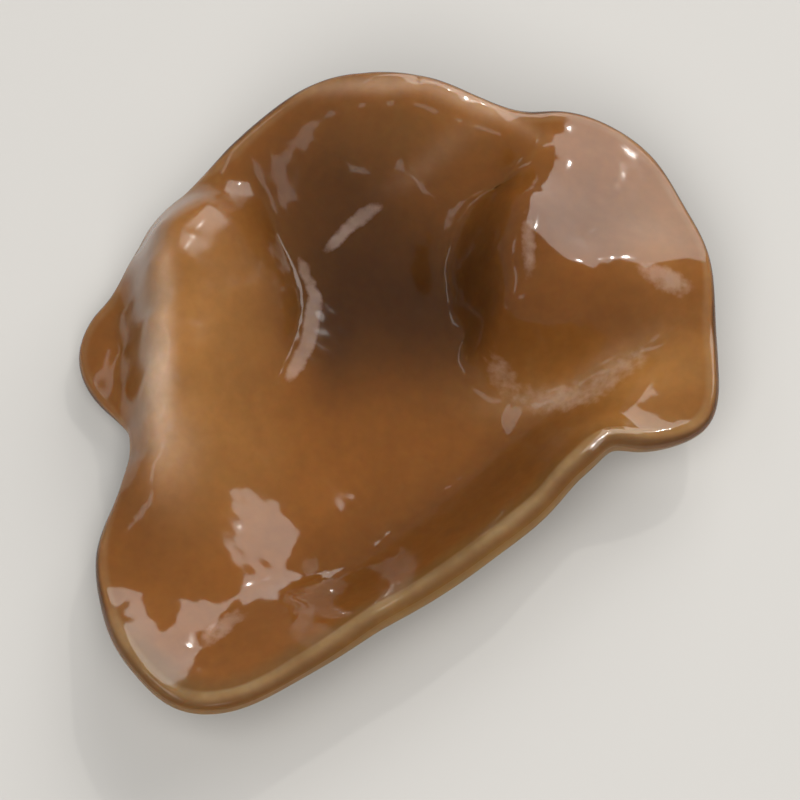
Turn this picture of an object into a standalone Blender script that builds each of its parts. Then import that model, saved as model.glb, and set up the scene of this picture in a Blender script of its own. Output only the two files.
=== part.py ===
"""Wood ear mushroom: one jelly-like fruit body, soaked and glossy.

The body is a thin sheet, cupped and folded. Its margin is a closed curve through hand-placed stations. Inside
it the sheet bends as a thin springy plate would through the margin and a few hand-placed heights, and narrow
creases are pressed into it. The under face follows the upper one a thickness below it, lies flat where it
touches the table, and runs down under the tall fold into a short stalk, cut off flat where it grew from the
wood.

Lengths in the tables are millimetres. +X is to the right, +Y away from the viewer, +Z up, and the origin is on
the table under the middle of the body's box.
"""
import math

import bpy
import numpy as np

MM = 0.001

# The sheet
FLESH = 2.2            # thickness away from the edge
LOWEST = 0.7           # the sheet's middle surface comes no lower than this
LOWEST_ROUND = 0.6     # and turns there this gently
EDGE_SWELL = 0.7       # from this share of the way to the margin the sheet takes on its edge's own thickness
SLOPE_STEP = 0.05      # slopes are measured over this far to each side

# Stations round the margin, anticlockwise from the front right corner: x, y, height, thickness of the edge
MARGIN = (
    (35.0, -11.5, 9.4, 2.4),
    (36.4, -5.2, 9.6, 2.2),
    (36.3, 1.2, 9.9, 2.0),
    (35.5, 9.0, 11.8, 2.0),
    (33.0, 14.7, 11.8, 2.0),
    (29.5, 20.8, 11.9, 2.1),
    (25.0, 24.4, 12.4, 2.2),
    (18.5, 25.8, 14.0, 2.2),
    (12.5, 25.0, 16.4, 2.2),
    (7.5, 26.6, 17.6, 2.2),
    (1.5, 28.6, 18.1, 2.2),
    (-5.0, 29.0, 17.8, 2.2),
    (-10.0, 28.2, 16.9, 2.2),
    (-15.0, 25.6, 15.4, 2.2),
    (-20.5, 21.5, 13.0, 2.2),
    (-26.0, 16.5, 10.0, 2.2),
    (-31.0, 11.5, 7.0, 2.2),
    (-34.0, 6.5, 5.0, 2.2),
    (-36.5, 3.5, 4.0, 2.2),
    (-38.0, -1.0, 3.5, 2.2),
    (-37.0, -4.5, 3.5, 2.2),
    (-34.5, -7.5, 3.5, 2.2),
    (-32.0, -10.5, 4.5, 2.2),
    (-31.5, -14.5, 5.5, 2.2),
    (-33.0, -20.5, 6.0, 2.2),
    (-35.0, -27.2, 6.6, 2.2),
    (-34.3, -33.7, 7.5, 2.2),
    (-32.5, -39.0, 9.8, 2.3),
    (-29.5, -43.4, 11.2, 2.4),
    (-25.0, -47.0, 12.2, 2.6),
    (-20.0, -47.2, 12.7, 2.6),
    (-14.0, -44.4, 12.6, 2.6),
    (-8.3, -40.7, 12.3, 2.8),
    (-3.2, -37.2, 12.3, 2.9),
    (4.8, -32.1, 12.0, 3.0),
    (10.2, -28.0, 12.0, 3.0),
    (16.1, -22.9, 12.0, 3.0),
    (19.3, -19.1, 12.0, 3.0),
    (21.6, -16.7, 11.8, 3.1),
    (24.0, -14.4, 11.1, 3.2),
    (27.5, -13.9, 10.0, 3.3),
    (31.5, -13.3, 9.5, 2.9),
)

# Heights of the sheet's middle surface inside the margin: x, y, height
HEIGHTS = {
    "gutter along the front": (
        (-24.0, -40.5, 8.6), (-18.3, -38.3, 9.0), (-20.7, -34.8, 7.4), (-13.8, -34.2, 7.2), (-17.2, -30.9, 6.2),
        (-9.8, -31.6, 3.8), (-13.4, -27.6, 4.6), (-10.2, -28.4, 2.0), (-6.5, -26.8, 1.3), (-1.5, -22.9, 1.0),
        (4.0, -18.8, 1.0), (9.5, -14.8, 1.0), (15.0, -11.2, 2.6),
    ),
    "floor": (
        (0.0, -12.0, 2.4), (0.0, -5.0, 3.6), (0.5, 2.0, 4.9), (-8.5, -22.5, 3.1), (-8.5, -17.0, 3.7), (-8.0, -10.0, 4.8),
        (-7.5, -3.5, 5.7), (6.5, -11.5, 1.1), (10.5, -9.0, 0.9), (7.0, -5.0, 2.3), (6.5, 2.0, 4.3),
    ),
    "back wall": (
        (0.0, 9.0, 6.5), (0.0, 16.0, 9.3), (0.0, 23.0, 13.2), (-7.0, 7.0, 6.4), (-7.0, 14.0, 9.0), (-7.0, 22.0, 12.8),
        (8.0, 20.0, 11.8), (6.8, 24.4, 17.5), (1.2, 26.4, 18.1), (-4.8, 26.8, 17.9), (-9.3, 26.0, 16.8), (12.2, 22.8, 16.2),
    ),
    "right trough": (
        (13.0, -4.6, 3.6), (13.5, -8.2, 2.0), (21.0, -4.6, 5.2), (21.0, -8.4, 5.8), (28.0, -1.6, 7.6), (28.0, -5.2, 8.2),
        (27.5, -9.2, 9.2), (33.5, 1.4, 9.5), (33.5, -3.0, 9.5), (34.0, -8.0, 9.6), (31.0, -10.5, 9.5),
    ),
    "front of the lobe": (
        (12.2, -1.2, 9.4), (21.0, -1.8, 8.2), (21.0, 1.0, 12.2), (28.0, 1.2, 10.8), (33.5, 4.0, 11.1),
    ),
    "right lobe": (
        (12.6, 1.8, 14.6), (11.6, 7.5, 15.5), (14.8, 5.0, 16.3), (21.0, 4.0, 15.6), (21.0, 9.0, 15.0), (28.0, 4.0, 14.1),
        (33.0, 6.8, 12.6), (13.2, 14.6, 15.2), (21.5, 14.0, 14.4), (28.0, 12.5, 13.1), (18.6, 20.5, 14.2), (24.0, 19.0, 13.3),
    ),
    "valley beside the lobe": (
        (16.0, 23.0, 14.0), (12.0, 18.2, 10.8), (8.6, 15.5, 8.9), (7.6, 11.5, 7.2), (7.4, 6.5, 5.8), (8.2, 1.5, 4.6),
    ),
    "crest of the hump": (
        (-20.0, 19.0, 12.2), (-23.5, 13.5, 15.0), (-25.4, 9.0, 16.5), (-26.4, 4.0, 16.0), (-26.6, -1.0, 15.0),
        (-26.8, -8.0, 13.0), (-27.0, -13.0, 10.9), (-27.0, -18.0, 9.2), (-26.5, -22.0, 8.0),
    ),
    "right flank of the hump": (
        (-21.5, 6.0, 14.2), (-17.5, 4.5, 11.2), (-21.5, -2.0, 12.7), (-17.5, -2.0, 9.5), (-21.5, -8.0, 10.9),
        (-18.0, -8.0, 8.2), (-21.5, -14.0, 8.7), (-19.5, -18.5, 6.5),
    ),
    "foot of the hump": (
        (-16.0, 13.0, 9.6), (-13.4, 10.0, 8.1), (-11.6, 5.0, 7.1), (-12.2, -1.0, 7.2), (-14.4, -6.5, 7.2),
        (-9.4, 5.0, 6.3), (-9.8, -1.0, 6.5), (-14.5, -12.5, 5.6), (-13.5, -17.5, 4.7),
    ),
    "left flank of the hump": (
        (-28.4, 11.0, 14.2), (-29.2, 5.5, 14.9), (-30.8, 5.5, 9.8), (-29.4, -1.0, 13.8), (-31.0, -1.0, 9.2),
        (-29.4, -7.0, 12.2), (-30.9, -7.0, 8.4), (-29.6, -12.0, 10.2), (-30.4, -17.0, 8.4),
    ),
    "small left lobe": (
        (-32.4, 4.5, 5.8), (-32.6, -1.0, 5.9), (-32.4, -5.5, 5.6), (-35.0, -1.0, 5.0),
    ),
    "front swell": (
        (-31.5, -24.5, 7.2), (-26.5, -26.0, 7.4), (-21.0, -24.0, 6.9), (-16.5, -23.0, 5.6), (-12.6, -22.5, 4.4),
        (-31.5, -28.8, 6.8), (-26.5, -30.0, 7.1), (-20.8, -29.3, 7.3), (-16.3, -27.2, 5.8), (-30.5, -32.5, 6.9),
        (-26.0, -33.6, 7.4), (-29.5, -36.0, 8.0), (-30.0, -40.0, 9.8), (-26.0, -38.0, 8.7),
    ),
}

# Narrow creases, each a path of x, y, lift and half-width; a lift below zero sinks the sheet
CREASES = {
    "beside the hump": (
        (-19.0, 22.5, 0.0, 2.0),
        (-17.0, 17.5, -1.0, 2.0),
        (-15.6, 13.0, -0.9, 1.8),
        (-14.0, 9.0, -0.6, 1.6),
        (-12.8, 5.0, -0.5, 1.4),
        (-13.2, 0.5, -0.5, 1.4),
        (-15.0, -4.5, -0.4, 1.4),
        (-16.5, -9.0, 0.0, 1.6),
    ),
}

# The stalk under the hump
STALK = (-27.0, 1.5)
CUT_RADIUS = 5.5       # of the flat cut face
FLARE_RADIUS = 11.0    # where the stalk has run out into the sheet

# Mesh
COLUMNS = 104
UPPER_ROWS = 24
EDGE_ROWS = 3
UNDER_ROWS = 19
ROW_POWER = 0.85       # below 1 crowds the rows towards the margin
PATH_STEPS = 60

COLOUR = (0.24, 0.11, 0.04, 1.0)
ROUGHNESS = 0.2


def closed_curve(stations, count):
    """A closed cubic spline through the stations, read at count places, closer where the stations are closer."""
    p = np.asarray(stations, float)
    n = len(p)
    ahead = np.roll(p, -1, 0)
    span = np.linalg.norm((ahead - p)[:, :3], axis=1)
    system = np.zeros((n, n))
    bend = np.zeros_like(p)
    for i in range(n):
        system[i, i - 1] += span[i - 1]
        system[i, i] += 2 * (span[i - 1] + span[i])
        system[i, (i + 1) % n] += span[i]
        bend[i] = 6 * ((ahead[i] - p[i]) / span[i] - (p[i] - p[i - 1]) / span[i - 1])
    curl = np.linalg.solve(system, bend)
    knots = np.concatenate([[0], np.cumsum(span)])

    def read(places):
        i = np.clip(np.searchsorted(knots, places, side="right") - 1, 0, n - 1)
        j = (i + 1) % n
        h = span[i][:, None]
        after = (places - knots[i])[:, None]
        before = h - after
        cubic = (curl[i] * before ** 3 + curl[j] * after ** 3) / (6 * h)
        return cubic + (p[i] / h - curl[i] * h / 6) * before + (p[j] / h - curl[j] * h / 6) * after

    fine = np.linspace(0, knots[-1], 2001)
    steps = np.linalg.norm(np.diff(read(fine)[:, :3], axis=0), axis=1)
    run = np.concatenate([[0], np.cumsum(steps)])
    share = run / run[-1] + np.interp(fine, knots, np.arange(n + 1)) / n
    return read(np.interp(np.linspace(0, 2, count, endpoint=False), share, fine))


def open_curve(points):
    """A Catmull-Rom curve through the points, at PATH_STEPS places."""
    p = np.asarray(points, float)
    p = np.concatenate([[2 * p[0] - p[1]], p, [2 * p[-1] - p[-2]]])
    place = np.linspace(0, len(p) - 3 - 1e-6, PATH_STEPS)
    i = place.astype(int)
    u = (place - i)[:, None]
    a, b, c, d = p[i], p[i + 1], p[i + 2], p[i + 3]
    return 0.5 * (2 * b + (c - a) * u + (2 * a - 5 * b + 4 * c - d) * u ** 2 + (3 * b - a - 3 * c + d) * u ** 3)


def smooth_step(low, high, value):
    """0 below low, 1 above high and an S between them."""
    t = np.clip((value - low) / (high - low), 0, 1)
    return t * t * (3 - 2 * t)


def crease(x, y, path):
    """Bells strung along a path: at each step lift * exp(-(distance / half-width)^2), shared out by step length."""
    curve = open_curve(path)
    step = np.linalg.norm(np.gradient(curve[:, :2], axis=0), axis=1)
    lift = np.zeros_like(x)
    for (px, py, height, half), length in zip(curve, step):
        share = height * length / (half * math.sqrt(math.pi))
        lift += share * np.exp(-((x - px) ** 2 + (y - py) ** 2) / half ** 2)
    return lift


def thin_plate(x, y, spots):
    """Height of a springy plate held at the spots: a plane plus a weight times r^2 log r about each spot."""

    def bump(dx, dy):
        square = dx * dx + dy * dy
        return square * np.log(square + 1e-12) / 2

    sx, sy, height = np.asarray(spots, float).T
    count = len(sx)
    plane = np.stack([np.ones(count), sx, sy], 1)
    system = np.zeros((count + 3, count + 3))
    system[:count, :count] = bump(sx[:, None] - sx, sy[:, None] - sy)
    system[:count, count:] = plane
    system[count:, :count] = plane.T
    weight = np.linalg.solve(system, np.concatenate([height, np.zeros(3)]))
    z = weight[count] + weight[count + 1] * x + weight[count + 2] * y
    for px, py, w in zip(sx, sy, weight):
        z += w * bump(x - px, y - py)
    return z


def spread(margin, rows):
    """The margin's outline drawn in towards its middle: each of its waves fades as row to the power of its number."""
    waves = np.fft.fft(margin[:, 0] + 1j * margin[:, 1])
    number = np.abs(np.fft.fftfreq(len(margin), 1 / len(margin)))
    place = np.fft.ifft(waves * rows[:, None] ** number, axis=1)
    return place.real, place.imag


def sheet_height(x, y):
    """Height of the sheet's middle surface: the plate with its creases, held softly above the table."""
    held = [station[:3] for station in MARGIN] + [spot for spots in HEIGHTS.values() for spot in spots]
    above = thin_plate(x, y, held) + sum(crease(x, y, path) for path in CREASES.values()) - LOWEST
    return LOWEST + (above + np.hypot(above, LOWEST_ROUND)) / 2


def unit(vectors):
    return vectors / np.maximum(np.linalg.norm(vectors, axis=-1, keepdims=True), 1e-9)


def sheet_normal(x, y):
    """Unit normal of the middle surface, from its rise over a short step to each side."""
    east = sheet_height(x + SLOPE_STEP, y) - sheet_height(x - SLOPE_STEP, y)
    north = sheet_height(x, y + SLOPE_STEP) - sheet_height(x, y - SLOPE_STEP)
    return unit(np.stack([-east, -north, np.full_like(x, 2 * SLOPE_STEP)], -1))


def body_grid():
    """Points of the closed body: upper face from its middle out, round the edge, under face back to its middle."""
    margin = closed_curve(MARGIN, COLUMNS)
    upper = np.linspace(0, 1, UPPER_ROWS + 1) ** ROW_POWER
    under = np.linspace(0, 1, UNDER_ROWS + 1) ** ROW_POWER
    rows = np.unique(np.concatenate([upper, under]))
    x, y = spread(margin, rows)
    middle = np.stack([x, y, sheet_height(x, y)], -1)
    up = sheet_normal(x, y)
    swell = smooth_step(EDGE_SWELL, 1, rows[:, None])
    half = (FLESH + (margin[:, 3] - FLESH) * swell)[..., None] / 2
    top = middle + up * half
    bottom = middle - up * half
    reach = np.hypot(bottom[..., 0] - STALK[0], bottom[..., 1] - STALK[1])
    bottom[..., 2] = np.maximum(bottom[..., 2], 0) * smooth_step(CUT_RADIUS, FLARE_RADIUS, reach)
    along = np.roll(middle[-1], -1, 0) - np.roll(middle[-1], 1, 0)
    outward = unit(np.cross(along, up[-1]))
    turn = np.linspace(0, math.pi, EDGE_ROWS + 2)[1:-1, None, None]
    edge = middle[-1] + (up[-1] * np.cos(turn) + outward * np.sin(turn)) * half[-1]
    return np.concatenate([top[np.isin(rows, upper)], edge, bottom[np.isin(rows, under)][::-1]])


def box_middle(grid):
    """The middle of the grid's box in X and Y, at the height of the table."""
    low, high = grid.min((0, 1)), grid.max((0, 1))
    return np.array([(low[0] + high[0]) / 2, (low[1] + high[1]) / 2, 0])


def close_grid(grid):
    """Vertices and faces of a grid whose columns go all the way round and whose first and last rows are points."""
    count, columns = grid.shape[0] - 2, grid.shape[1]
    points = np.concatenate([grid[0, :1], grid[1:-1].reshape(-1, 3), grid[-1, :1]])
    index = 1 + np.arange(count * columns).reshape(count, columns)
    ahead = np.roll(index, -1, 1)
    faces = np.stack([index[:-1], index[1:], ahead[1:], ahead[:-1]], -1).reshape(-1, 4).tolist()
    faces += [(0, a, b) for a, b in zip(index[0].tolist(), ahead[0].tolist())]
    last = len(points) - 1
    faces += [(last, b, a) for a, b in zip(index[-1].tolist(), ahead[-1].tolist())]
    return points, faces


def flesh_material():
    material = bpy.data.materials.new("soaked_flesh")
    material.use_nodes = True
    shader = material.node_tree.nodes["Principled BSDF"]
    shader.inputs["Base Color"].default_value = COLOUR
    shader.inputs["Roughness"].default_value = ROUGHNESS
    shader.inputs["Metallic"].default_value = 0.0
    return material


def make_fruit_body():
    grid = body_grid()
    points, faces = close_grid(grid - box_middle(grid))
    mesh = bpy.data.meshes.new("fruit_body")
    mesh.from_pydata((points * MM).tolist(), [], faces)
    mesh.validate()
    mesh.update()
    mesh.shade_smooth()
    mesh.materials.append(flesh_material())
    body = bpy.data.objects.new("fruit_body", mesh)
    bpy.context.scene.collection.objects.link(body)
    return body


for leftover in list(bpy.data.objects):
    bpy.data.objects.remove(leftover)
make_fruit_body()
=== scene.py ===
"""Looks of a soaked wood ear mushroom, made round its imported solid.

The file is laid out as a Blender add-on and run as a script. The tables are in millimetres, in the solid's
own working frame: +X to the right, +Y away from the viewer, +Z up from the table, before its box is centred.
"""
import math

import bpy
import numpy as np
from bpy.props import FloatProperty, FloatVectorProperty, IntProperty, PointerProperty
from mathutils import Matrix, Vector


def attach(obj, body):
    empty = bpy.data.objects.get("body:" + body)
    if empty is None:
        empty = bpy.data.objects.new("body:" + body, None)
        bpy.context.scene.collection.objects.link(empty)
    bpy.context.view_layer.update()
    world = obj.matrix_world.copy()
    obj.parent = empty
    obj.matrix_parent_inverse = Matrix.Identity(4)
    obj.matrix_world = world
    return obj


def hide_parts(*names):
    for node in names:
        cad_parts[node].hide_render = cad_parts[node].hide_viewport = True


bl_info = {
    "name": "Wood ear mushroom",
    "version": (1, 0, 0),
    "blender": (4, 5, 0),
    "location": "3D View > Sidebar > Wood ear",
    "description": "Makes a soaked wood ear mushroom and a plain stage for it",
    "category": "Mesh",
}

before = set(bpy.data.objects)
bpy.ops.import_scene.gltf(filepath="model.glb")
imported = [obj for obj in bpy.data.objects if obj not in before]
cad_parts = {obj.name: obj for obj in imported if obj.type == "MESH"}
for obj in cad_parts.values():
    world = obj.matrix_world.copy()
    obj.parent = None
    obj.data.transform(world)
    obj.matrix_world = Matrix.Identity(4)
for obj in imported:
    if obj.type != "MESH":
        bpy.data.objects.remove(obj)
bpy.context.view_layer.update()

MM = 0.001

# Stations round the margin, anticlockwise from the front right corner: x, y, height, thickness of the edge
MARGIN = (
    (35.0, -11.5, 9.4, 2.4),
    (36.4, -5.2, 9.6, 2.2),
    (36.3, 1.2, 9.9, 2.0),
    (35.5, 9.0, 11.8, 2.0),
    (33.0, 14.7, 11.8, 2.0),
    (29.5, 20.8, 11.9, 2.1),
    (25.0, 24.4, 12.4, 2.2),
    (18.5, 25.8, 14.0, 2.2),
    (12.5, 25.0, 16.4, 2.2),
    (7.5, 26.6, 17.6, 2.2),
    (1.5, 28.6, 18.1, 2.2),
    (-5.0, 29.0, 17.8, 2.2),
    (-10.0, 28.2, 16.9, 2.2),
    (-15.0, 25.6, 15.4, 2.2),
    (-20.5, 21.5, 13.0, 2.2),
    (-26.0, 16.5, 10.0, 2.2),
    (-31.0, 11.5, 7.0, 2.2),
    (-34.0, 6.5, 5.0, 2.2),
    (-36.5, 3.5, 4.0, 2.2),
    (-38.0, -1.0, 3.5, 2.2),
    (-37.0, -4.5, 3.5, 2.2),
    (-34.5, -7.5, 3.5, 2.2),
    (-32.0, -10.5, 4.5, 2.2),
    (-31.5, -14.5, 5.5, 2.2),
    (-33.0, -20.5, 6.0, 2.2),
    (-35.0, -27.2, 6.6, 2.2),
    (-34.3, -33.7, 7.5, 2.2),
    (-32.5, -39.0, 9.8, 2.3),
    (-29.5, -43.4, 11.2, 2.4),
    (-25.0, -47.0, 12.2, 2.6),
    (-20.0, -47.2, 12.7, 2.6),
    (-14.0, -44.4, 12.6, 2.6),
    (-8.3, -40.7, 12.3, 2.8),
    (-3.2, -37.2, 12.3, 2.9),
    (4.8, -32.1, 12.0, 3.0),
    (10.2, -28.0, 12.0, 3.0),
    (16.1, -22.9, 12.0, 3.0),
    (19.3, -19.1, 12.0, 3.0),
    (21.6, -16.7, 11.8, 3.1),
    (24.0, -14.4, 11.1, 3.2),
    (27.5, -13.9, 10.0, 3.3),
    (31.5, -13.3, 9.5, 2.9),
)

# Heights of the sheet's middle surface inside the margin: x, y, height
HEIGHTS = {
    "gutter along the front": (
        (-24.0, -40.5, 8.6), (-18.3, -38.3, 9.0), (-20.7, -34.8, 7.4), (-13.8, -34.2, 7.2),
        (-17.2, -30.9, 6.2), (-9.8, -31.6, 3.8), (-13.4, -27.6, 4.6), (-10.2, -28.4, 2.0),
        (-6.5, -26.8, 1.3), (-1.5, -22.9, 1.0), (4.0, -18.8, 1.0), (9.5, -14.8, 1.0), (15.0, -11.2, 2.6),
    ),
    "floor": (
        (0.0, -12.0, 2.4), (0.0, -5.0, 3.6), (0.5, 2.0, 4.9), (-8.5, -22.5, 3.1), (-8.5, -17.0, 3.7),
        (-8.0, -10.0, 4.8), (-7.5, -3.5, 5.7), (6.5, -11.5, 1.1), (10.5, -9.0, 0.9), (7.0, -5.0, 2.3),
        (6.5, 2.0, 4.3),
    ),
    "back wall": (
        (0.0, 9.0, 6.5), (0.0, 16.0, 9.3), (0.0, 23.0, 13.2), (-7.0, 7.0, 6.4), (-7.0, 14.0, 9.0),
        (-7.0, 22.0, 12.8), (8.0, 20.0, 11.8), (6.8, 24.4, 17.5), (1.2, 26.4, 18.1), (-4.8, 26.8, 17.9),
        (-9.3, 26.0, 16.8), (12.2, 22.8, 16.2),
    ),
    "right trough": (
        (13.0, -4.6, 3.6), (13.5, -8.2, 2.0), (21.0, -4.6, 5.2), (21.0, -8.4, 5.8), (28.0, -1.6, 7.6),
        (28.0, -5.2, 8.2), (27.5, -9.2, 9.2), (33.5, 1.4, 9.5), (33.5, -3.0, 9.5), (34.0, -8.0, 9.6),
        (31.0, -10.5, 9.5),
    ),
    "front of the lobe": (
        (12.2, -1.2, 9.4), (21.0, -1.8, 8.2), (21.0, 1.0, 12.2), (28.0, 1.2, 10.8), (33.5, 4.0, 11.1),
    ),
    "right lobe": (
        (12.6, 1.8, 14.6), (11.6, 7.5, 15.5), (14.8, 5.0, 16.3), (21.0, 4.0, 15.6), (21.0, 9.0, 15.0),
        (28.0, 4.0, 14.1), (33.0, 6.8, 12.6), (13.2, 14.6, 15.2), (21.5, 14.0, 14.4), (28.0, 12.5, 13.1),
        (18.6, 20.5, 14.2), (24.0, 19.0, 13.3),
    ),
    "valley beside the lobe": (
        (16.0, 23.0, 14.0), (12.0, 18.2, 10.8), (8.6, 15.5, 8.9), (7.6, 11.5, 7.2), (7.4, 6.5, 5.8),
        (8.2, 1.5, 4.6),
    ),
    "crest of the hump": (
        (-20.0, 19.0, 12.2), (-23.5, 13.5, 15.0), (-25.4, 9.0, 16.5), (-26.4, 4.0, 16.0),
        (-26.6, -1.0, 15.0), (-26.8, -8.0, 13.0), (-27.0, -13.0, 10.9), (-27.0, -18.0, 9.2),
        (-26.5, -22.0, 8.0),
    ),
    "right flank of the hump": (
        (-21.5, 6.0, 14.2), (-17.5, 4.5, 11.2), (-21.5, -2.0, 12.7), (-17.5, -2.0, 9.5),
        (-21.5, -8.0, 10.9), (-18.0, -8.0, 8.2), (-21.5, -14.0, 8.7), (-19.5, -18.5, 6.5),
    ),
    "foot of the hump": (
        (-16.0, 13.0, 9.6), (-13.4, 10.0, 8.1), (-11.6, 5.0, 7.1), (-12.2, -1.0, 7.2), (-14.4, -6.5, 7.2),
        (-9.4, 5.0, 6.3), (-9.8, -1.0, 6.5), (-14.5, -12.5, 5.6), (-13.5, -17.5, 4.7),
    ),
    "left flank of the hump": (
        (-28.4, 11.0, 14.2), (-29.2, 5.5, 14.9), (-30.8, 5.5, 9.8), (-29.4, -1.0, 13.8), (-31.0, -1.0, 9.2),
        (-29.4, -7.0, 12.2), (-30.9, -7.0, 8.4), (-29.6, -12.0, 10.2), (-30.4, -17.0, 8.4),
    ),
    "small left lobe": (
        (-32.4, 4.5, 5.8), (-32.6, -1.0, 5.9), (-32.4, -5.5, 5.6), (-35.0, -1.0, 5.0),
    ),
    "front swell": (
        (-31.5, -24.5, 7.2), (-26.5, -26.0, 7.4), (-21.0, -24.0, 6.9), (-16.5, -23.0, 5.6),
        (-12.6, -22.5, 4.4), (-31.5, -28.8, 6.8), (-26.5, -30.0, 7.1), (-20.8, -29.3, 7.3),
        (-16.3, -27.2, 5.8), (-30.5, -32.5, 6.9), (-26.0, -33.6, 7.4), (-29.5, -36.0, 8.0),
        (-30.0, -40.0, 9.8), (-26.0, -38.0, 8.7),
    ),
}

# Narrow creases, each a path of x, y, lift and half-width; a lift below zero sinks the sheet
CREASES = {
    "beside the hump": (
        (-19.0, 22.5, 0.0, 2.0), (-17.0, 17.5, -1.0, 2.0), (-15.6, 13.0, -0.9, 1.8),
        (-14.0, 9.0, -0.6, 1.6), (-12.8, 5.0, -0.5, 1.4), (-13.2, 0.5, -0.5, 1.4), (-15.0, -4.5, -0.4, 1.4),
        (-16.5, -9.0, 0.0, 1.6),
    ),
}

# Soft patches of tint: x, y, half-width, half-length, turn in degrees, strength. The darkening patches are
# painted shade in the deep pocket, along the gutter and in other shaded places; crest is painted light, paler
# on the tall fold, the right corner and the thin back wall where light comes through; the pale streak and
# band patches are painted highlights and reflections on the fold's ridge, the back wall and the trough. Olive
# marks the front lip and satin dulls the gloss. Glaze is painted: it stands in for the narrow wet highlights
# that the lamps don't make, so it doesn't move with the viewer.
TINTS = {
    # Painted shade: darker in the deep pocket, along the gutter and in other shaded places
    "painted_shade": (
        (-1.0, 5.0, 12.0, 8.5, 0.0, 1.5), (-7.0, 17.0, 9.0, 9.0, 20.0, 0.75),
        (9.5, 13.0, 2.2, 8.0, -30.0, 0.12), (-8.5, 0.5, 3.0, 7.0, 0.0, 0.6),
        (-31.0, 0.0, 2.5, 9.0, 0.0, 0.3), (4.0, -22.5, 5.5, 20.0, -52.0, 0.4),
        (-28.0, -25.0, 7.0, 5.0, 0.0, 0.25), (22.0, 12.0, 9.0, 7.0, 0.0, 0.25),
    ),
    # Painted light: paler on the tall fold, the right corner and the thin back wall where light comes through
    "crest": (
        (-25.5, -2.0, 5.0, 15.0, 0.0, 1.0), (30.0, -5.5, 8.0, 3.8, 10.0, 1.1),
        (-20.5, -15.0, 6.0, 8.0, 0.0, 0.4), (28.0, -13.0, 7.0, 2.2, 0.0, 0.9),
        (-18.5, 1.0, 4.0, 9.0, 0.0, 0.3), (14.0, -6.0, 7.0, 3.0, 0.0, 0.4),
        (3.0, 24.0, 12.0, 3.5, 0.0, 0.25), (31.0, 10.0, 5.0, 8.0, 0.0, 0.3),
    ),
    # Painted highlights: a pale streak along the tall fold's ridge and pale reflection bands on the back wall
    # and the trough
    "painted_highlight": (
        (-28.3, 3.5, 1.2, 5.5, 0.0, 0.3), (-28.8, -7.5, 1.4, 6.5, 0.0, 0.9),
        (-27.0, -15.5, 3.0, 5.0, 0.0, 0.15), (-3.5, 28.0, 8.0, 1.0, 0.0, 0.25),
        (8.5, 25.7, 6.5, 1.0, -18.0, 0.25), (4.5, 21.2, 6.0, 1.3, 27.0, 0.06),
        (16.0, -7.0, 5.0, 1.4, 0.0, 0.07), (25.0, -3.2, 6.0, 1.3, 27.0, 0.07),
    ),
    "glaze": (
        (-11.8, 8.0, 0.9, 3.0, 20.0, 0.6), (-10.9, 2.6, 1.1, 3.6, -8.0, 0.9),
        (-12.6, -3.4, 1.1, 3.4, -25.0, 0.8), (-8.0, 12.0, 1.0, 3.4, -46.0, 0.6),
        (-4.4, 15.0, 1.2, 3.0, -58.0, 0.6), (14.8, 7.8, 1.4, 6.0, 0.0, 0.55),
        (31.0, 5.0, 5.0, 2.0, -8.0, 0.6), (11.5, -3.8, 2.2, 3.8, 49.0, 0.45),
        (18.5, -7.2, 5.5, 2.7, 0.0, 0.45), (26.5, -4.0, 3.0, 6.5, -55.0, 0.45),
        (-21.0, -37.2, 1.7, 5.0, -48.0, 0.6),
    ),
    "olive": (
        (2.0, -32.5, 7.0, 27.0, -55.0, 1.2), (-28.0, -43.0, 9.0, 8.0, 0.0, 0.8),
    ),
    "satin": (
        (-25.5, 1.5, 7.0, 13.0, 0.0, 1.0),
    ),
}

# The sheet's middle is held this high above the table, with a bend this round
LOWEST = 0.7
LOWEST_ROUND = 0.6

# The stalk's middle, under the tall fold
STALK = (-27.0, 1.5)

# Share of the way out from the middle where the flesh starts to swell to the margin's thickness
EDGE_SWELL = 0.7

# Lengths of the slow waves and of the skin's small ones
RIPPLE_LENGTH = 9.0
SKIN_LENGTH = 2.2

# How the surfaces are sampled
SLOPE_STEP = 0.05
PATH_STEPS = 60
MARGIN_STEPS = 2001
ROW_POWER = 0.85
GOLDEN_ANGLE = 2.39996

# How fast a tint fills up as its patches add
TINT_GAIN = 1.5

# In metres: where the olive band and the painted highlight line along the margin are full and where they end,
# and the noises' cloud lengths
LIP_BAND = (0.0008, 0.0045)
RIM_LINE = (0.0001, 0.0009)
CLOUD_LENGTH = 0.006
GRAIN_LENGTH = 0.0012
PORE_LENGTH = 0.0018
VELVET_LENGTH = 0.0006
RELIEF_DEPTH = 0.00001

# In metres and degrees: the stage, with its lamps' and its camera's distances
FLOOR_HALF = 1.5
PANEL_DISTANCE = 0.9
SUN_DISTANCE = 0.7
CAMERA_DISTANCE = 0.5
CAMERA_RISE = 68
CAMERA_TARGET = (0.0004, 0.0003, 0.01)
CAMERA_LENS = 190
CAMERA_SENSOR = 36


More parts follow.
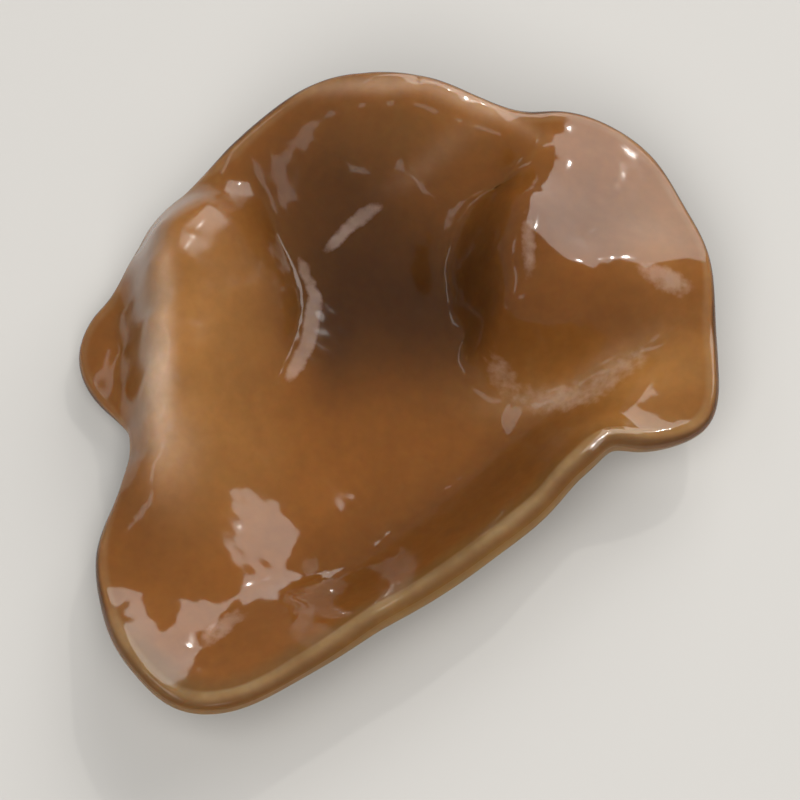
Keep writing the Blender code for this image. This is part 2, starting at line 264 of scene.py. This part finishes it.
class EarShape(bpy.types.PropertyGroup):
    flesh: FloatProperty(name="Flesh", description="Thickness away from the edge", default=0.0022,
                         min=0.001, max=0.004, unit="LENGTH")
    ripple: FloatProperty(name="Ripple", description="Height of the slow waves of the sheet",
                          default=0.00006, min=0.0, max=0.001, unit="LENGTH")
    skin: FloatProperty(name="Skin relief", description="Height of the small waves of the skin",
                        default=0.000013, min=0.0, max=0.0005, unit="LENGTH")
    cut_radius: FloatProperty(name="Cut radius", description="Radius of the stalk's flat cut face",
                              default=0.0055, min=0.002, max=0.01, unit="LENGTH")
    flare_radius: FloatProperty(name="Flare radius",
                                description="Where the stalk has run out into the sheet", default=0.011,
                                min=0.006, max=0.02, unit="LENGTH")
    columns: IntProperty(name="Columns", description="Mesh columns round the ear", default=480, min=60,
                         max=600)
    upper_rows: IntProperty(name="Upper rows", description="Mesh rows of the upper face", default=108,
                            min=20, max=200)
    edge_rows: IntProperty(name="Edge rows", description="Mesh rows round the edge", default=9, min=3,
                           max=20)
    under_rows: IntProperty(name="Under rows", description="Mesh rows of the under face", default=80,
                            min=20, max=200)


class EarLook(bpy.types.PropertyGroup):
    flesh: FloatVectorProperty(name="Flesh", description="Colour of the upper face", subtype="COLOR",
                               size=4, default=(0.2, 0.073, 0.013, 1.0), min=0.0, max=1.0)
    # Painted shade, for the deep pocket and for the dark line where the edge turns over
    painted_shade: FloatVectorProperty(name="Hollow", description="Colour of the deep hollow", subtype="COLOR",
                                size=4, default=(0.034, 0.011, 0.003, 1.0), min=0.0, max=1.0)
    # Painted light, paler where light comes through the flesh
    crest: FloatVectorProperty(name="Crest", description="Colour where light comes through",
                               subtype="COLOR", size=4, default=(0.3, 0.14, 0.038, 1.0), min=0.0, max=1.0)
    # Painted highlight on the ridge and painted reflection bands
    painted_highlight: FloatVectorProperty(name="Bloom", description="Colour of the pale bloom on the ridge",
                               subtype="COLOR", size=4, default=(0.58, 0.42, 0.3, 1.0), min=0.0, max=1.0)
    glaze: FloatVectorProperty(name="Glaze", description="Colour painted where narrow highlights are",
                               subtype="COLOR", size=4, default=(0.52, 0.4, 0.34, 1.0), min=0.0, max=1.0)
    lip: FloatVectorProperty(name="Lip", description="Colour of the olive band at the margin",
                             subtype="COLOR", size=4, default=(0.13, 0.073, 0.022, 1.0), min=0.0, max=1.0)
    # Painted highlight line along the edge
    rim_highlight: FloatVectorProperty(name="Rim", description="Colour of the thin pale line along the edge",
                             subtype="COLOR", size=4, default=(0.31, 0.225, 0.12, 1.0), min=0.0, max=1.0)
    under: FloatVectorProperty(name="Underside", description="Colour of the velvety under face",
                               subtype="COLOR", size=4, default=(0.2, 0.106, 0.028, 1.0), min=0.0,
                               max=1.0)
    outer: FloatVectorProperty(name="Outer lip", description="Colour of the outer face of the front lip",
                               subtype="COLOR", size=4, default=(0.23, 0.128, 0.03, 1.0), min=0.0,
                               max=1.0)
    wet: FloatProperty(name="Wet roughness", description="Roughness of the wet upper face", default=0.1,
                       min=0.0, max=1.0, subtype="FACTOR")
    velvet: FloatProperty(name="Velvet roughness", description="Roughness of the under face", default=0.6,
                          min=0.0, max=1.0, subtype="FACTOR")


class StageLook(bpy.types.PropertyGroup):
    floor: FloatVectorProperty(name="Floor", description="Colour of the floor", subtype="COLOR", size=4,
                               default=(0.5, 0.49, 0.475, 1.0), min=0.0, max=1.0)
    sky: FloatProperty(name="Sky panel", description="Power of the broad panel at the back right",
                       default=7.2, min=0.0, subtype="POWER")
    side: FloatProperty(name="Side panel", description="Power of the panel at the left", default=0.35,
                        min=0.0, subtype="POWER")
    strip: FloatProperty(name="Strip", description="Power of the strip mirrored by the back wall",
                         default=0.2, min=0.0, subtype="POWER")
    front: FloatProperty(name="Front panel", description="Power of the panel that no surface mirrors",
                         default=8.4, min=0.0, subtype="POWER")
    sun: FloatProperty(name="Sun", description="Power of the small bright lamp", default=0.5, min=0.0,
                       subtype="POWER")
    fill: FloatProperty(name="Fill", description="Strength of the light from all round", default=0.2,
                        min=0.0)


def closed_curve(stations, count):
    """A closed cubic spline through the stations, read at count places that crowd where the stations do."""
    p = np.asarray(stations, float)
    n = len(p)
    ahead = np.roll(p, -1, 0)
    span = np.linalg.norm((ahead - p)[:, :3], axis=1)
    system = np.zeros((n, n))
    bend = np.zeros_like(p)
    for i in range(n):
        system[i, i - 1] += span[i - 1]
        system[i, i] += 2 * (span[i - 1] + span[i])
        system[i, (i + 1) % n] += span[i]
        bend[i] = 6 * ((ahead[i] - p[i]) / span[i] - (p[i] - p[i - 1]) / span[i - 1])
    curl = np.linalg.solve(system, bend)
    knots = np.concatenate([[0], np.cumsum(span)])

    def read(places):
        i = np.clip(np.searchsorted(knots, places, side="right") - 1, 0, n - 1)
        j = (i + 1) % n
        h = span[i][:, None]
        after = (places - knots[i])[:, None]
        before = h - after
        cubic = (curl[i] * before ** 3 + curl[j] * after ** 3) / (6 * h)
        return cubic + (p[i] / h - curl[i] * h / 6) * before + (p[j] / h - curl[j] * h / 6) * after

    fine = np.linspace(0, knots[-1], MARGIN_STEPS)
    steps = np.linalg.norm(np.diff(read(fine)[:, :3], axis=0), axis=1)
    run = np.concatenate([[0], np.cumsum(steps)])
    share = run / run[-1] + np.interp(fine, knots, np.arange(n + 1)) / n
    return read(np.interp(np.linspace(0, 2, count, endpoint=False), share, fine))


def open_curve(points):
    """A curve through the points: between each two a cubic, which is sloped there as its neighbours lie."""
    p = np.asarray(points, float)
    p = np.concatenate([[2 * p[0] - p[1]], p, [2 * p[-1] - p[-2]]])
    place = np.linspace(0, len(p) - 3 - 1e-6, PATH_STEPS)
    i = place.astype(int)
    u = (place - i)[:, None]
    a, b, c, d = p[i], p[i + 1], p[i + 2], p[i + 3]
    square = 2 * a - 5 * b + 4 * c - d
    cube = 3 * b - a - 3 * c + d
    return 0.5 * (2 * b + (c - a) * u + square * u ** 2 + cube * u ** 3)


def smooth_step(low, high, value):
    """0 below low, 1 above high and an S between them."""
    t = np.clip((value - low) / (high - low), 0, 1)
    return t * t * (3 - 2 * t)


def unit(vectors):
    """Vectors over their own lengths."""
    return vectors / np.maximum(np.linalg.norm(vectors, axis=-1, keepdims=True), 1e-9)


def waves(x, y, length, seed, count=9):
    """A swell between about -1 and 1: the sum of plane sine waves of nearly one length, turned all round."""
    z = np.zeros_like(x)
    for k in range(count):
        turn = GOLDEN_ANGLE * (k + seed)
        number = 2 * math.pi / (length * (0.75 + 0.5 * ((k * 0.618 + seed * 0.37) % 1)))
        z += np.sin(number * (x * math.cos(turn) + y * math.sin(turn)) + 4.1 * k + 1.7 * seed)
    return z / math.sqrt(count)


def crease(x, y, path):
    """Bells strung along a path: lift * exp(-(distance / half-width)^2) at each step, by its length."""
    curve = open_curve(path)
    step = np.linalg.norm(np.gradient(curve[:, :2], axis=0), axis=1)
    lift = np.zeros_like(x)
    for (px, py, height, half), length in zip(curve, step):
        share = height * length / (half * math.sqrt(math.pi))
        lift += share * np.exp(-((x - px) ** 2 + (y - py) ** 2) / half ** 2)
    return lift


def thin_plate(x, y, spots):
    """Height of a springy plate held at the spots: a plane plus a weight times r^2 log r about each spot."""

    def bump(dx, dy):
        square = dx * dx + dy * dy
        return square * np.log(square + 1e-12) / 2

    sx, sy, height = np.asarray(spots, float).T
    count = len(sx)
    plane = np.stack([np.ones(count), sx, sy], 1)
    system = np.zeros((count + 3, count + 3))
    system[:count, :count] = bump(sx[:, None] - sx, sy[:, None] - sy)
    system[:count, count:] = plane
    system[count:, :count] = plane.T
    weight = np.linalg.solve(system, np.concatenate([height, np.zeros(3)]))
    z = weight[count] + weight[count + 1] * x + weight[count + 2] * y
    for px, py, w in zip(sx, sy, weight):
        z += w * bump(x - px, y - py)
    return z


def spread(margin, rows):
    """The margin drawn in to its middle: each wave of its outline fades as row to the power of its number."""
    circles = np.fft.fft(margin[:, 0] + 1j * margin[:, 1])
    number = np.abs(np.fft.fftfreq(len(margin), 1 / len(margin)))
    place = np.fft.ifft(circles * rows[:, None] ** number, axis=1)
    return place.real, place.imag


def sheet_height(x, y):
    """Height of the sheet's middle surface: the plate with its creases, held softly above the table."""
    held = [station[:3] for station in MARGIN] + [spot for spots in HEIGHTS.values() for spot in spots]
    above = thin_plate(x, y, held) + sum(crease(x, y, path) for path in CREASES.values()) - LOWEST
    return LOWEST + (above + np.hypot(above, LOWEST_ROUND)) / 2


def sheet_normal(x, y):
    """Unit normal of the middle surface, from its rise over a short step to each side."""
    east = sheet_height(x + SLOPE_STEP, y) - sheet_height(x - SLOPE_STEP, y)
    north = sheet_height(x, y + SLOPE_STEP) - sheet_height(x, y - SLOPE_STEP)
    return unit(np.stack([-east, -north, np.full_like(x, 2 * SLOPE_STEP)], -1))


def tint(x, y, patches):
    """1 - exp(-gain * sum), a sum of strength * exp(-(across / half-width)^2 - (along / half-length)^2)."""
    total = np.zeros_like(x)
    for px, py, half_width, half_length, turn, strength in patches:
        cosine = math.cos(math.radians(turn))
        sine = math.sin(math.radians(turn))
        across = (x - px) * cosine + (y - py) * sine
        along = (y - py) * cosine - (x - px) * sine
        total += strength * np.exp(-(across / half_width) ** 2 - (along / half_length) ** 2)
    return 1 - np.exp(-TINT_GAIN * total)


def body_grid(shape):
    """Points of the closed body, and the masks over them.

    Rows run from the middle of the upper face out, round the half-round edge, and back in under. The faces
    lie half the thickness to each side of the sheet along its normal, and the under one stops at the table.
    The masks are the distance from the margin along the sheet in metres, how far the surface has turned under
    from 0 to 1, and the tints.
    """
    flesh = shape.flesh / MM
    margin = closed_curve(MARGIN, shape.columns)
    upper = np.linspace(0, 1, shape.upper_rows + 1) ** ROW_POWER
    under = np.linspace(0, 1, shape.under_rows + 1) ** ROW_POWER
    rows = np.unique(np.concatenate([upper, under]))
    x, y = spread(margin, rows)
    up = sheet_normal(x, y)
    middle = np.stack([x, y, sheet_height(x, y)], -1)
    swell = smooth_step(EDGE_SWELL, 1, rows[:, None])
    half = (flesh + (margin[:, 3] - flesh) * swell)[..., None] / 2
    top = middle + up * half
    bottom = middle - up * half
    reach = np.hypot(bottom[..., 0] - STALK[0], bottom[..., 1] - STALK[1])
    foot = smooth_step(shape.cut_radius / MM, shape.flare_radius / MM, reach)
    bottom[..., 2] = np.maximum(bottom[..., 2], 0) * foot
    slow = waves(x, y, RIPPLE_LENGTH, 1) * shape.ripple / MM
    small = waves(x, y, SKIN_LENGTH, 5) * shape.skin / MM
    top += up * (slow + small)[..., None]
    along = np.roll(middle[-1], -1, 0) - np.roll(middle[-1], 1, 0)
    outward = unit(np.cross(along, up[-1]))
    turn = np.linspace(0, math.pi, shape.edge_rows + 2)[1:-1, None, None]
    edge = middle[-1] + (up[-1] * np.cos(turn) + outward * np.sin(turn)) * half[-1]
    step = np.linalg.norm(np.diff(middle, axis=0), axis=-1)
    inward = np.concatenate([np.cumsum(step[::-1], 0)[::-1], np.zeros((1, shape.columns))])
    is_top, is_under = np.isin(rows, upper), np.isin(rows, under)

    def stack(over, round_edge, below):
        return np.concatenate([over[is_top], round_edge, below[is_under][::-1]])

    points = stack(top, edge, bottom)
    level = edge[..., 0]
    masks = {
        "margin_distance": stack(inward, 0 * level, inward) * MM,
        "turned_under": stack(0 * x, turn[..., 0] / math.pi + 0 * level, 0 * x + 1),
    }
    for name, patches in TINTS.items():
        masks[name] = tint(points[..., 0], points[..., 1], patches)
    return points, masks


def box_middle(grid):
    """The middle of the grid's box in X and Y, at the height of the table."""
    low, high = grid.min((0, 1)), grid.max((0, 1))
    return np.array([(low[0] + high[0]) / 2, (low[1] + high[1]) / 2, 0])


def close_grid(grid):
    """Vertices and faces of a grid whose columns go all the way round and whose end rows are points."""
    count, columns = grid.shape[0] - 2, grid.shape[1]
    points = np.concatenate([grid[0, :1], grid[1:-1].reshape(-1, 3), grid[-1, :1]])
    index = 1 + np.arange(count * columns).reshape(count, columns)
    ahead = np.roll(index, -1, 1)
    faces = np.stack([index[:-1], index[1:], ahead[1:], ahead[:-1]], -1).reshape(-1, 4).tolist()
    faces += [(0, a, b) for a, b in zip(index[0].tolist(), ahead[0].tolist())]
    last = len(points) - 1
    faces += [(last, b, a) for a, b in zip(index[-1].tolist(), ahead[-1].tolist())]
    return points, faces


class Socket:
    """A shader value that adds up as a Python number does; each sum adds one Math node."""

    def __init__(self, nodes, socket):
        self.nodes = nodes
        self.socket = socket

    def maths(self, operation, first, second=0.0):
        return self.nodes.node("ShaderNodeMath", {"operation": operation}, {0: first, 1: second}).out(0)

    def __add__(self, other):
        return self.maths("ADD", self, other)

    def __sub__(self, other):
        return self.maths("SUBTRACT", self, other)

    def __rsub__(self, other):
        return self.maths("SUBTRACT", other, self)

    def __mul__(self, other):
        return self.maths("MULTIPLY", self, other)

    __radd__ = __add__
    __rmul__ = __mul__


class Made:
    """A node that has been made; out gives one of its outputs."""

    def __init__(self, nodes, made):
        self.nodes = nodes
        self.made = made

    def out(self, name):
        return Socket(self.nodes, self.made.outputs[name])


class Nodes:
    """A material's node tree."""

    def __init__(self, material):
        material.use_nodes = True
        self.tree = material.node_tree
        self.tree.nodes.clear()

    def node(self, kind, settings=None, inputs=None):
        """Makes a node of a type, with its settings first and then its sockets' values or links."""
        made = self.tree.nodes.new(kind)
        for name, value in (settings or {}).items():
            setattr(made, name, value)
        for name, value in (inputs or {}).items():
            if isinstance(value, Socket):
                self.tree.links.new(value.socket, made.inputs[name])
            else:
                made.inputs[name].default_value = value
        return Made(self, made)

    def attribute(self, name):
        return self.node("ShaderNodeAttribute", {"attribute_name": name}).out("Fac")

    def ease(self, value, low, high):
        """0 below low, 1 above high and an S between them."""
        kind = {"interpolation_type": "SMOOTHSTEP"}
        inputs = {"Value": value, "From Min": low, "From Max": high}
        return self.node("ShaderNodeMapRange", kind, inputs).out("Result")

    def mix(self, factor, first, second):
        """A colour that goes from the first to the second as the factor goes from 0 to 1."""
        return self.node("ShaderNodeMix", {"data_type": "RGBA"}, {0: factor, 6: first, 7: second}).out(2)

    def noise(self, length, detail):
        """Cloudy noise between 0 and 1 whose clouds are about this many metres long."""
        place = self.node("ShaderNodeTexCoord").out("Object")
        inputs = {"Vector": place, "Scale": 1 / length, "Detail": detail}
        return self.node("ShaderNodeTexNoise", None, inputs).out(0)


def flesh_material(look):
    """Wet translucent flesh, velvety below.

    It is brown, with painted shade in the deep pocket, painted light on the crests, painted highlights and
    reflection bands, and ragged painted patches of glaze. Along the margin it has an olive band, a painted
    highlight line just inside the edge, and a painted dark line of shade where the edge turns over and there
    is no band.
    """
    material = bpy.data.materials.new("soaked_flesh")
    nodes = Nodes(material)
    away = nodes.attribute("margin_distance")
    turned = nodes.attribute("turned_under")
    olive = nodes.attribute("olive")
    under = nodes.ease(turned, 0.35, 0.75)
    cloud = nodes.noise(CLOUD_LENGTH, 3.0)
    grain = nodes.noise(GRAIN_LENGTH, 3.0)
    # Painted shade in the deep pocket and other shaded places
    colour = nodes.mix(nodes.attribute("painted_shade"), tuple(look.flesh), tuple(look.painted_shade))
    # Painted light on the crests and thin places
    colour = nodes.mix(nodes.attribute("crest"), colour, tuple(look.crest))
    # Painted highlight streak and painted reflection bands
    colour = nodes.mix(nodes.attribute("painted_highlight") * (cloud * 0.5 + 0.75), colour, tuple(look.painted_highlight))
    ragged = nodes.ease(nodes.attribute("glaze") + (grain - 0.5) * 0.3, 0.38, 0.6)
    colour = nodes.mix(ragged * (cloud * 0.3 + 0.12), colour, tuple(look.glaze))
    band = (1 - nodes.ease(away + (cloud - 0.5) * 0.002, *LIP_BAND)) * olive
    colour = nodes.mix(band * 0.8, colour, tuple(look.lip))
    over = nodes.ease(turned, 0.1, 0.3)
    shoulder = 1 - nodes.ease(turned, 0.15, 0.45)
    # A painted highlight line just inside the edge
    line = (1 - nodes.ease(away, *RIM_LINE)) * shoulder * (olive * 0.6 + 0.4)
    colour = nodes.mix(line * cloud, colour, tuple(look.rim_highlight))
    # A painted dark line of shade where the edge turns over, outside the olive band
    edge_shade = over * (1 - under) * (1 - olive)
    colour = nodes.mix(edge_shade * 0.8, colour, tuple(look.painted_shade))
    outer = nodes.mix(olive * 0.8, tuple(look.under), tuple(look.outer))
    colour = nodes.mix(under, colour, outer)
    shade = nodes.ease(cloud * 0.6 + grain * 0.4, 0.3, 0.75) * 0.2 + 0.9
    grey = nodes.node("ShaderNodeCombineColor", None, {0: shade, 1: shade, 2: shade}).out(0)
    multiply = {"data_type": "RGBA", "blend_type": "MULTIPLY"}
    colour = nodes.node("ShaderNodeMix", multiply, {0: 1.0, 6: colour, 7: grey}).out(2)
    satin = nodes.attribute("satin") * 0.21 + look.wet
    rough = under * (look.velvet - satin) + satin
    relief = nodes.noise(PORE_LENGTH, 2.0) * (1 - under) + nodes.noise(VELVET_LENGTH, 4.0) * under * 2.0
    inputs = {"Height": relief, "Strength": 1.0, "Distance": RELIEF_DEPTH}
    bump = nodes.node("ShaderNodeBump", None, inputs).out("Normal")
    shader = nodes.node("ShaderNodeBsdfPrincipled", None, {
        "Base Color": colour, "Roughness": rough, "IOR": 1.5, "Normal": bump,
        "Subsurface Weight": 0.8, "Subsurface Radius": (1.0, 0.42, 0.15), "Subsurface Scale": 0.003,
    }).out("BSDF")
    nodes.node("ShaderNodeOutputMaterial", None, {"Surface": shader})
    return material


def floor_material(colour):
    """A plain matt surface."""
    material = bpy.data.materials.new("pale_floor")
    nodes = Nodes(material)
    shader = nodes.node("ShaderNodeBsdfPrincipled", None, {"Base Color": tuple(colour), "Roughness": 0.9})
    nodes.node("ShaderNodeOutputMaterial", None, {"Surface": shader.out("BSDF")})
    return material


def add_object(name, data):
    """An object at the origin that holds the data."""
    made = bpy.data.objects.new(name, data)
    bpy.context.scene.collection.objects.link(made)
    return made


def around(azimuth, elevation, distance):
    """A place round the ear: azimuth 0 is at the back and 90 at the right, both angles in degrees."""
    turn = math.radians(azimuth)
    rise = math.radians(elevation)
    level = math.cos(rise)
    return Vector((math.sin(turn) * level, math.cos(turn) * level, math.sin(rise))) * distance


def add_panel_light(name, place, width, height, power, colour=(1.0, 1.0, 1.0)):
    """A rectangular lamp that faces the ear."""
    light = bpy.data.lights.new(name, "AREA")
    light.shape = "RECTANGLE"
    light.size = width
    light.size_y = height
    light.energy = power
    light.color = colour
    lamp = add_object(name, light)
    lamp.location = place
    lamp.rotation_euler = (-place).to_track_quat("-Z", "Y").to_euler()
    return lamp


class FUNGUS_OT_fruit_body(bpy.types.Operator):
    """Makes the ear, a cupped and folded sheet of wet flesh"""
    bl_idname = "fungus.fruit_body"
    bl_label = "Fruit body"

    def execute(self, context):
        grid, masks = body_grid(context.scene.ear_shape)
        points, faces = close_grid((grid - box_middle(grid)) * MM)
        mesh = bpy.data.meshes.new("ear")
        mesh.from_pydata(points.tolist(), [], faces)
        for name, mask in masks.items():
            values = np.concatenate([mask[0, :1], mask[1:-1].ravel(), mask[-1, :1]])
            mesh.attributes.new(name, "FLOAT", "POINT").data.foreach_set("value", values.astype(np.float32))
        mesh.shade_smooth()
        mesh.materials.append(flesh_material(context.scene.ear_look))
        ear = add_object("ear", mesh)
        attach(ear, "root")
        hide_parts("fruit_body")
        return {"FINISHED"}


class FUNGUS_OT_stage(bpy.types.Operator):
    """Makes the floor, the lights and the camera"""
    bl_idname = "fungus.stage"
    bl_label = "Stage"

    def execute(self, context):
        look = context.scene.stage_look
        half = FLOOR_HALF
        corners = [(-half, -half, 0), (half, -half, 0), (half, half, 0), (-half, half, 0)]
        mesh = bpy.data.meshes.new("floor")
        mesh.from_pydata(corners, [], [(0, 1, 2, 3)])
        mesh.materials.append(floor_material(look.floor))
        add_object("floor", mesh)
        far = PANEL_DISTANCE
        add_panel_light("sky", around(31, 34, far), 0.97, 0.73, look.sky, (1.0, 0.98, 0.95))
        add_panel_light("side", around(-85, 53, far), 0.55, 0.14, look.side)
        add_panel_light("strip", around(186, 48, far), 0.3, 0.2, look.strip)
        front = add_panel_light("front", around(190, 62, far), 0.8, 0.8, look.front, (1.0, 0.98, 0.94))
        front.visible_glossy = False
        add_panel_light("sun", around(30, 50, SUN_DISTANCE), 0.02, 0.02, look.sun, (1.0, 0.96, 0.9))
        world = bpy.data.worlds.new("fill")
        world.use_nodes = True
        background = world.node_tree.nodes["Background"]
        background.inputs["Color"].default_value = (0.95, 0.97, 1.0, 1.0)
        background.inputs["Strength"].default_value = look.fill
        context.scene.world = world
        context.scene.view_settings.view_transform = "Standard"
        camera = bpy.data.cameras.new("camera")
        camera.sensor_width = CAMERA_SENSOR
        camera.lens = CAMERA_LENS
        back = around(180, CAMERA_RISE, 1.0)
        viewer = add_object("camera", camera)
        viewer.location = Vector(CAMERA_TARGET) + back * CAMERA_DISTANCE
        viewer.rotation_euler = (-back).to_track_quat("-Z", "Y").to_euler()
        context.scene.camera = viewer
        return {"FINISHED"}


class FUNGUS_PT_ear(bpy.types.Panel):
    """Sizes, colours and the buttons that make the ear and its stage"""
    bl_idname = "FUNGUS_PT_ear"
    bl_label = "Wood ear"
    bl_space_type = "VIEW_3D"
    bl_region_type = "UI"
    bl_category = "Wood ear"

    def draw(self, context):
        groups = (context.scene.ear_shape, context.scene.ear_look, context.scene.stage_look)
        for group in groups:
            box = self.layout.box()
            for name in group.bl_rna.properties.keys():
                if name not in {"rna_type", "name"}:
                    box.prop(group, name)
        self.layout.operator("fungus.fruit_body")
        self.layout.operator("fungus.stage")


CLASSES = (EarShape, EarLook, StageLook, FUNGUS_OT_fruit_body, FUNGUS_OT_stage, FUNGUS_PT_ear)


def register():
    for cls in CLASSES:
        bpy.utils.register_class(cls)
    bpy.types.Scene.ear_shape = PointerProperty(type=EarShape)
    bpy.types.Scene.ear_look = PointerProperty(type=EarLook)
    bpy.types.Scene.stage_look = PointerProperty(type=StageLook)


def unregister():
    del bpy.types.Scene.stage_look
    del bpy.types.Scene.ear_look
    del bpy.types.Scene.ear_shape
    for cls in reversed(CLASSES):
        bpy.utils.unregister_class(cls)


def main():
    register()
    bpy.ops.fungus.fruit_body()
    bpy.ops.fungus.stage()


if __name__ == "__main__":
    main()
